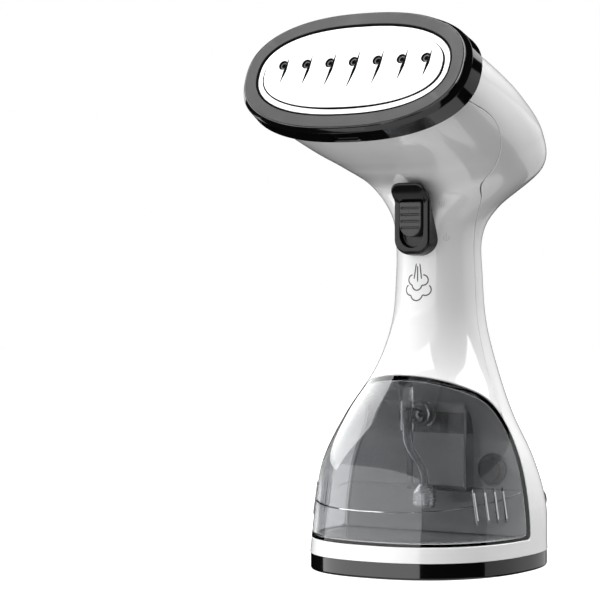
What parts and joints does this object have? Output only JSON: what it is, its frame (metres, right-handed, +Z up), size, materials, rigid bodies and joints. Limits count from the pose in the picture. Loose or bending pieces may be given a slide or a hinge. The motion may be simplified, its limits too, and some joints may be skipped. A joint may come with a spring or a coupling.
{
  "type": "handheld garment steamer",
  "caption": "Handheld garment steamer with a tilted oval steam plate, a sliding switch, a waisted handle and a clear slide-out water tank in its flared base.",
  "frame": {"origin": "centre of the base's underside", "axes": "+Z up, front (steam side) towards -Y, +X to the right seen from the front"},
  "size_m": [0.142, 0.1802, 0.3003],
  "materials": {
    "white_shell": "high gloss",
    "white_inner": "satin",
    "black_gloss": "high gloss",
    "black_inner": "satin",
    "face_ring": "satin gloss",
    "plate_white": "smooth ceramic coating",
    "switch_black": "gloss",
    "slider_black": "satin",
    "plunger_red": "satin",
    "smoke_clear": "clear smoke-tinted plastic",
    "hose_clear": "translucent silicone",
    "seal_rubber": "matte",
    "cast_metal": "cast",
    "steel": "bright",
    "coil_copper": "enamelled winding",
    "board_green": "solder mask"
  },
  "bodies": {
    "housing": {"base_foot": "black_gloss", "tank_deck": "white_inner", "rear_shell": "white_shell", "front_shell": "white_shell", "tank_bulkhead": "white_inner", "head_collar": "black_gloss", "bezel_ring": "face_ring", "steam_plate": "plate_white", "plate_gasket": "seal_rubber", "boiler": "cast_metal", "boiler_frame": "black_inner", "heating_element": "steel", "thermostat": "black_inner", "thermal_fuse": "steel", "switch_bezel": "switch_black", "microswitch": "black_inner", "tank_spigot": "black_inner", "inlet_hose": "hose_clear", "pump_body": "white_inner", "pump_coil": "coil_copper", "pump_spring": "steel", "pump_bracket": "seal_rubber", "steam_hose": "hose_clear", "control_board": "board_green", "board_parts": "black_inner", "cord_gland": "seal_rubber", "gland_nut": "black_inner", "cord_clamp": "white_inner", "handle_rib_1": "white_inner", "handle_rib_2": "white_inner", "shell_screw_1": "steel", "shell_screw_2": "steel", "base_screw_1": "steel", "base_screw_2": "steel", "base_screw_3": "steel", "base_screw_4": "steel"},
    "slider": {"switch_slider": "slider_black", "slider_carriage": "white_inner"},
    "plunger": {"switch_plunger": "plunger_red"},
    "tank": {"tank_upper": "smoke_clear", "tank_lower": "smoke_clear", "outlet_sleeve": "smoke_clear", "tank_seal": "seal_rubber", "pickup_tube": "hose_clear", "filter_weight": "steel"},
    "plug": {"tank_plug": "seal_rubber"},
    "piston": {"pump_piston": "steel"}
  },
  "joints": [
    {"name": "slider_slide", "type": "slide", "parent": "housing", "child": "slider", "axis": [0, 0, -1], "range_m": [0, 0.005]},
    {"name": "plunger_press", "type": "slide", "parent": "housing", "child": "plunger", "axis": [0, 1, 0], "range_m": [0, 0.0015]},
    {"name": "tank_slide", "type": "slide", "parent": "housing", "child": "tank", "axis": [0, -1, 0], "range_m": [0, 0.095]},
    {"name": "plug_pull", "type": "slide", "parent": "tank", "child": "plug", "axis": [0, 1, 0], "range_m": [0, 0.008]},
    {"name": "piston_stroke", "type": "slide", "parent": "housing", "child": "piston", "axis": [0, 0, -1], "range_m": [0, 0.004], "stiffness_N_per_m": 400, "deforming": ["pump_spring"]}
  ],
  "couplings": [
    {"joint": "plunger_press", "follows": "slider_slide", "ratio": 0.3}
  ]
}
